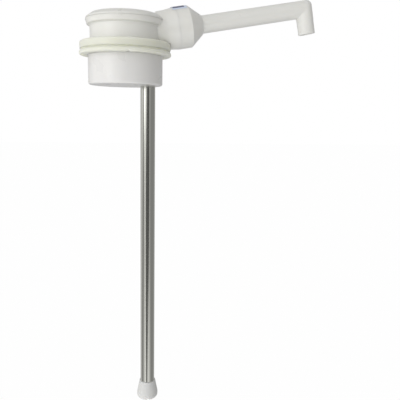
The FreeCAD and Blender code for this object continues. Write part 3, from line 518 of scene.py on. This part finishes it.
def film(name, colour, shade):
    """Printed film: flat ink with a faint mottle under a clear gloss."""
    made, tree, skin, where = shader(name, colour, 0.35, coat=0.6, coat_roughness=0.12)
    tint = ramp(tree, [(0.35, shade), (0.65, colour)], noise(tree, where, scale=300, detail=3))
    tree.links.new(tint.outputs[0], skin.inputs["Base Color"])
    bump(tree, noise(tree, where, scale=500), skin, strength=0.1, depth=0.05 * MM)
    return made


seal_black = rubber()
label_blue = film("label_ink_blue", (0.012, 0.03, 0.16), (0.01, 0.022, 0.12))
label_pale = film("label_border", (0.70, 0.78, 0.92), (0.66, 0.74, 0.88))
print("finishes:", len(bpy.data.materials))

# %% [markdown]
# ## Surfaces from a profile
#
# Nearly every piece here was turned, moulded or drawn, so it is a profile carried round an
# axis. A real edge is never perfectly sharp: each corner of a profile has its own rounding, and
# the arc between its two tangent points is worked out from the corner's angle.

# %% Rounded profiles
ARC_STEPS = 7


def rounded_profile(corners, closed):
    """Points of an outline of (radius, height, rounding) corners.

    A corner is replaced by an arc that touches both of its sides. The arc starts at a distance
    of rounding * tan(turn / 2) from the corner, and its centre lies on the bisector. A point
    just outside each end of the arc keeps the flat sides flat when they are shaded.
    """
    count = len(corners)
    points = []
    for index, (radius, height, rounding) in enumerate(corners):
        here = np.array((radius, height))
        inside = closed or 0 < index < count - 1
        if not inside or rounding <= 0:
            points.append(here[None])
            continue
        before = np.array(corners[index - 1][:2]) - here
        after = np.array(corners[(index + 1) % count][:2]) - here
        before /= np.linalg.norm(before)
        after /= np.linalg.norm(after)
        half = 0.5 * math.acos(float(np.clip(before @ after, -1, 1)))
        bisector = (before + after) / np.linalg.norm(before + after)
        centre = here + bisector * rounding / math.sin(half)
        reach = rounding / math.tan(half)
        first = here + before * reach - centre
        last = here + after * reach - centre
        turn = math.atan2(first[0] * last[1] - first[1] * last[0], first @ last)
        angle = np.linspace(0, turn, ARC_STEPS)[:, None]
        side = np.array((-first[1], first[0]))
        keep_flat = 0.25 * reach
        points.append((here + before * (reach + keep_flat))[None])
        points.append(centre + np.cos(angle) * first + np.sin(angle) * side)
        points.append((here + after * (reach + keep_flat))[None])
    return np.vstack(points)


print("steps of a rounding:", ARC_STEPS)

# %% [markdown]
# ## Meshes from grids
#
# A grid of points becomes a mesh when every four neighbours are joined by a quad, and a grid
# that closes on itself also joins its last row or column to the first. Blender then merges the
# points that coincide and turns the faces outwards.

# %% Meshes from grids
CREASE = math.radians(35)


def grid_faces(rows, columns, wrap_rows, wrap_columns):
    """Quads of a grid of points, as an array of four indices each."""
    row = np.arange(rows if wrap_rows else rows - 1)[:, None]
    column = np.arange(columns if wrap_columns else columns - 1)[None, :]
    next_row = (row + 1) % rows
    next_column = (column + 1) % columns
    quads = (row * columns + column, row * columns + next_column,
             next_row * columns + next_column, next_row * columns + column)
    shape = (row.size, column.size)
    return np.stack([np.broadcast_to(quad, shape) for quad in quads], axis=-1).reshape(-1, 4)


def mesh_piece(name, points, faces, material, body):
    """Closed mesh object from whole arrays of points and quads.

    Points that coincide, as on an axis, are merged, faces are turned outwards, and shading is
    smooth except across creases.
    """
    mesh = bpy.data.meshes.new(name)
    mesh.from_pydata(points.tolist(), [], faces.tolist())
    work = bmesh.new()
    work.from_mesh(mesh)
    bmesh.ops.remove_doubles(work, verts=work.verts, dist=1e-7)
    bmesh.ops.dissolve_degenerate(work, edges=work.edges, dist=1e-8)
    bmesh.ops.recalc_face_normals(work, faces=work.faces)
    work.to_mesh(mesh)
    work.free()
    mesh.polygons.foreach_set("use_smooth", np.ones(len(mesh.polygons), dtype=bool))
    mesh.set_sharp_from_angle(angle=CREASE)
    mesh.materials.append(material)
    piece = bpy.data.objects.new(name, mesh)
    scene.collection.objects.link(piece)
    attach(piece, body)
    print(name, len(mesh.polygons), "faces")
    return piece


print("creases are sharper than", round(math.degrees(CREASE)), "degrees")

# %% [markdown]
# ## Lathed pieces
#
# A turned piece is the grid that a profile sweeps on its way round an axis. Most of the pieces
# below are made in this one way.

# %% Lathed pieces
SIDES = 160


def around_axis(profile, sides):
    """Points (radius cos a, radius sin a, height) for every profile point and every angle a."""
    angle = np.linspace(0, 2 * math.pi, sides, endpoint=False)[None, :]
    radius = profile[:, 0][:, None] + 0 * angle
    height = profile[:, 1][:, None] + 0 * angle
    return np.stack((radius * np.cos(angle), radius * np.sin(angle), height),
                    axis=-1).reshape(-1, 3)


def lathe(name, corners, material, body, closed=True, carry=None, sides=SIDES,
          centre=(0, 0)):
    """Surface of revolution whose sizes are in millimetres.

    An outline that isn't closed starts and ends on the axis. carry moves the finished points,
    as onto_arm does, and centre shifts an upright piece sideways.
    """
    profile = rounded_profile(corners, closed) * MM
    points = around_axis(profile, sides) + np.array((centre[0], centre[1], 0))
    if carry is not None:
        points = carry(points)
    faces = grid_faces(len(profile), sides, closed, True)
    return mesh_piece(name, points, faces, material, body)


print("sides of a full turn:", SIDES)

# %% [markdown]
# ## The spigot cup
#
# The lower cylinder drops into the can's neck. It is a closed cup with a rounded edge at its
# foot. Its upper end is half a millimetre smaller where the ring grips it.

# %% Spigot cup
CUP_RADIUS = 39.4
CUP_BORE = CUP_RADIUS - 2.6
CUP_LAND_RADIUS = 38.9
CUP_BASE = cup_low[2] / MM
CUP_FLOOR = CUP_BASE + 3.0
CUP_TOP = cup_high[2] / MM
cup = lathe("spigot_cup_moulding", [
    (0, CUP_BASE, 0),
    (CUP_RADIUS, CUP_BASE, 2.2),
    (CUP_RADIUS, 0, 0.05),
    (CUP_LAND_RADIUS, 0, 0.05),
    (CUP_LAND_RADIUS, CUP_TOP, 0.2),
    (CUP_BORE, CUP_TOP, 0.2),
    (CUP_BORE, CUP_FLOOR, 1.0),
    (0, CUP_FLOOR, 0),
], white_cool, "pump_head", closed=False)
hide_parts("spigot_cup")

# %% [markdown]
# ## The neck ring
#
# Two lips with a groove between them make one soft ring, stretched over the head. Its flat
# underside sits on the can's neck and has two shallow vent grooves, made by lifting the points
# that lie near the line x = 0.

# %% Neck ring
RING_BORE = 38.95
RING_FOOT_BORE = 39.7
RING_FOOT_BEVEL = 0.8
HEAD_RADIUS = 37.3
LOWER_LIP = 48.5
UPPER_LIP = 48.0
RING_GROOVE = 46.5
LIP_ROUND = 1.3
VENT_START = 41
VENT_WIDTH = 1.3 * MM
VENT_DEPTH = 1.0 * MM


def vented(points):
    """The foot rises by depth * exp(-(x / width)^4), fading to nothing up the lip's rounding."""
    x, y, z = points.T
    near_foot = np.clip(1 - z / (LIP_ROUND * MM), 0, 1) * (np.hypot(x, y) > VENT_START * MM)
    lift = VENT_DEPTH * np.exp(-(x / VENT_WIDTH) ** 4) * near_foot
    return np.stack((x, y, z + lift), axis=-1)


ring = lathe("neck_ring_moulding", [
    (RING_FOOT_BORE, 0, 0.1),
    (VENT_START + 0.5, 0, 0),
    (LOWER_LIP, 0, LIP_ROUND),
    (LOWER_LIP, 3.4, 1.5),
    (RING_GROOVE, 4.9, 1.0),
    (UPPER_LIP, 6.4, 1.8),
    (UPPER_LIP, 13.4, 2.0),
    (HEAD_RADIUS, 15.2, 0.3),
    (HEAD_RADIUS, CUP_TOP, 0.1),
    (RING_BORE, CUP_TOP, 0.1),
    (RING_BORE, RING_FOOT_BEVEL, 0.2),
], ring_rubber, "pump_head", carry=vented, sides=480)
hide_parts("neck_ring")

# %% [markdown]
# ## Outlet housing
#
# The housing pushes into the head's stub and holds the spout. It is turned about the arm's axis:
# a short cylinder, then a cone with crisp edges down to the spout's own diameter.

# %% Outlet housing
VALVE_BORE = 13.0
PLUG_RADIUS = 15.95
PLUG_START = 48.8
ARM_SOCKET = 9.61
ARM_SOCKET_FLOOR = 74.5
GLAND_BORE = 8.68
GLAND_START = 70.0
housing = lathe("outlet_housing_moulding", [
    (VALVE_BORE, PLUG_START, 0.2),
    (PLUG_RADIUS, PLUG_START, 0.3),
    (PLUG_RADIUS, SEAM / MM, 0.1),
    (HOUSING_RADIUS / MM, SEAM / MM, 0.12),
    (HOUSING_RADIUS / MM, HOUSING_END / MM, 0.5),
    (CONE_END_RADIUS / MM, CONE_END / MM, 0.5),
    (ARM_SOCKET, CONE_END / MM, 0.1),
    (ARM_SOCKET, ARM_SOCKET_FLOOR, 0.1),
    (GLAND_BORE, ARM_SOCKET_FLOOR, 0.1),
    (GLAND_BORE, GLAND_START, 0.1),
    (VALVE_BORE, GLAND_START, 0.3),
], white, "pump_head", carry=onto_arm)
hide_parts("outlet_housing")

# %% [markdown]
# ## The spout
#
# The spout is one moulding made on two straight cores that meet at the elbow, so arm and drop
# are two cylinders cut at 45 degrees. Think of it as a bundle of straight lines: the line at an
# angle a round the arm lies at x = r cos a, runs up the arm to the height elbow - r cos a, turns
# by 90 degrees and runs on along x. Each line turns on an arc of its own, small at the inner
# corner and larger at the outer one, which leaves the soft diagonal crease.

# %% Rows of the spout
ELBOW_STEPS = 12


def straight_rows(pairs, angle):
    """Rows of points on the arm: (r cos a, r sin a, station) for each (r, station)."""
    return [np.stack((r * np.cos(angle), r * np.sin(angle), s + 0 * angle), axis=-1)
            for r, s in pairs]


def drop_rows(pairs, angle, elbow):
    """Rows of points on the drop: (distance, r sin a, elbow - r cos a) for each (r, distance)."""
    return [np.stack((x + 0 * angle, r * np.sin(angle), elbow - r * np.cos(angle)), axis=-1)
            for r, x in pairs]


def elbow_rows(r, inner_round, outer_round, angle, elbow):
    """Rows round the corner of every line, on an arc of that line's own rounding.

    With b the rounding, the arc's centre is b past the corner along x and b before it along the
    arm. The point at a turn t is the centre plus b times (-cos t, sin t).
    """
    share = ((1 - np.cos(angle)) / 2) ** 2
    rounding = inner_round + (outer_round - inner_round) * share
    corner_x = r * np.cos(angle)
    corner_s = elbow - r * np.cos(angle)
    rows = []
    for turn in np.linspace(0, math.pi / 2, ELBOW_STEPS):
        x = corner_x + rounding * (1 - math.cos(turn))
        s = corner_s - rounding * (1 - math.sin(turn))
        rows.append(np.stack((x, r * np.sin(angle), s), axis=-1))
    return rows


print("steps round the elbow:", ELBOW_STEPS)

# %% [markdown]
# The whole spout is one closed grid: out along the neck and the arm, round the elbow, down the
# drop to the mouth, and back through the bore. The neck carries a groove for the clip that
# holds it, the arm one for its seal, and the mouth has a softly rounded edge.

# %% Spout
SPOUT_BORE = 6.8
MOUTH_BORE = 7.1
LAND_RADIUS = 9.3
LAND_LENGTH = 15.0
NECK_RADIUS = 8.6
NECK_START = 66.6
SPOUT_STEP = 74.7
CLIP_GROOVE = (68.45, 69.75)
CLIP_GROOVE_FLOOR = NECK_RADIUS - 0.7
SEAL_GROOVE_DEPTH = 1.0
INNER_CORNER, OUTER_CORNER = 1.0, 6.0
BORE_INNER_CORNER, BORE_OUTER_CORNER = 0.6, 2.0
BORE_END_GAP = 12


def spout_points(sides):
    """All rows of the spout, outside from the neck to the mouth and back along the bore."""
    angle = np.linspace(0, 2 * math.pi, sides, endpoint=False)
    elbow = ELBOW / MM
    drop = DROP / MM
    arm = ARM_RADIUS / MM
    land = drop - LAND_LENGTH
    groove = SPOUT_STEP + 2.7
    groove_floor = arm - SEAL_GROOVE_DEPTH
    clip_low, clip_high = CLIP_GROOVE
    outside_arm = [
        (NECK_RADIUS - 0.3, NECK_START), (NECK_RADIUS, NECK_START + 0.3),
        (NECK_RADIUS, clip_low), (CLIP_GROOVE_FLOOR, clip_low), (CLIP_GROOVE_FLOOR, clip_high),
        (NECK_RADIUS, clip_high), (NECK_RADIUS, SPOUT_STEP), (arm - 0.3, SPOUT_STEP),
        (arm, SPOUT_STEP + 0.3), (arm, groove), (groove_floor, groove + 0.1),
        (groove_floor, groove + 1.1), (arm, groove + 1.2), (arm, 0.5 * (groove + elbow)),
        (arm, elbow - arm - OUTER_CORNER - 0.2),
    ]
    outside_drop = [(arm, land), (LAND_RADIUS, land + 0.25), (LAND_RADIUS, drop - 0.9),
                    (LAND_RADIUS - 0.06, drop - 0.45), (LAND_RADIUS - 0.25, drop - 0.15),
                    (LAND_RADIUS - 0.6, drop)]
    inside_drop = [(MOUTH_BORE + 0.5, drop), (MOUTH_BORE + 0.15, drop - 0.12),
                   (MOUTH_BORE, drop - 0.5), (MOUTH_BORE, land), (SPOUT_BORE, land - 0.1)]
    inside_arm = [(SPOUT_BORE, elbow - BORE_END_GAP), (SPOUT_BORE, NECK_START + 0.2),
                  (SPOUT_BORE + 0.2, NECK_START)]
    rows = (straight_rows(outside_arm, angle)
            + elbow_rows(arm, INNER_CORNER, OUTER_CORNER, angle, elbow)
            + drop_rows(outside_drop, angle, elbow)
            + drop_rows(inside_drop, angle, elbow)
            + elbow_rows(SPOUT_BORE, BORE_INNER_CORNER, BORE_OUTER_CORNER, angle, elbow)[::-1]
            + straight_rows(inside_arm, angle))
    return np.array(rows)


spout_grid = spout_points(SIDES) * MM
spout = mesh_piece("spout_moulding", onto_arm(spout_grid.reshape(-1, 3)),
                   grid_faces(*spout_grid.shape[:2], True, True), white, "spout_arm")
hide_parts("spout")

# %% [markdown]
# ## Suction tube
#
# A plain drawn tube, cut square and deburred at both ends.

# %% Suction tube
TUBE_OFFSET = 23.9 * MM
TUBE_RADIUS = 8.0
TUBE_BORE = 7.0
TUBE_BASE = tube_low[2] / MM
TUBE_TOP = tube_high[2] / MM
tube = lathe("suction_tube_drawn", [
    (TUBE_BORE, TUBE_BASE, 0.2),
    (TUBE_RADIUS, TUBE_BASE, 0.25),
    (TUBE_RADIUS, TUBE_TOP, 0.25),
    (TUBE_BORE, TUBE_TOP, 0.2),
], tube_steel, "pump_head", centre=(TUBE_OFFSET, 0), sides=128)
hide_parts("suction_tube")

# %% [markdown]
# ## Label
#
# A printed film is stuck across the seam on top of the outlet. It bends one way only, so each of
# its two layers, the pale border and the blue field, is a thin patch of a cylinder. It carries
# no lettering.

# %% Label film
LABEL_RADIUS = 22.06
FILM = 0.14


def film_patch(name, base, half_angle, first, last, material):
    """Patch of a cylinder: (-r cos a, r sin a, station), with r on both faces of the film.

    The outline in (r, station) is a thin closed loop, and at both end angles it closes to the
    middle of the film.
    """
    angle = np.radians(np.linspace(-half_angle, half_angle, 49))[:, None]
    along = np.linspace(first, last, 13)
    station = np.concatenate((along, along[::-1]))[None, :] + 0 * angle
    face = np.repeat((0.5, -0.5), len(along))[None, :] + 0 * angle
    face[[0, -1]] = 0
    radius = base + FILM * (0.5 + face)
    points = np.stack((-radius * np.cos(angle), radius * np.sin(angle), station), axis=-1)
    faces = grid_faces(len(angle), 2 * len(along), False, True)
    return mesh_piece(name, onto_arm(points.reshape(-1, 3) * MM), faces, material,
                      "pump_head")


border = film_patch("label_border", LABEL_RADIUS, 39, 52.8, 68.4, label_pale)
film_patch("label_field", LABEL_RADIUS + 0.1, 31, 53.6, 65.9, label_blue)
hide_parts("colour_label")

# %% [markdown]
# ## Parts that keep their own shape
#
# The head, the foot, the crank, the screws, the gears and the valve parts stay exactly as the
# CAD gives them. Each only gets the finish that its material slot names.

# %% Finishes for the parts that stay as they are
KEPT_FINISHES = {
    "white_gloss": white,
    "ring_elastomer": ring_rubber,
    "acetal": acetal,
    "steel_hardware": turned_steel,
    "tube_steel": tube_steel,
    "seal_rubber": seal_black,
    "foot_plastic": foot_white,
    "label_blue": label_blue,
}
for part in frame["record"]["subparts"]:
    kept = nodes[part["node"]]
    kept.data.materials.clear()
    kept.data.materials.append(KEPT_FINISHES[part["material_slot"]])

# %% [markdown]
# ## Update
#
# The last cell brings the view layer up to date.

# %% Update
bpy.context.view_layer.update()
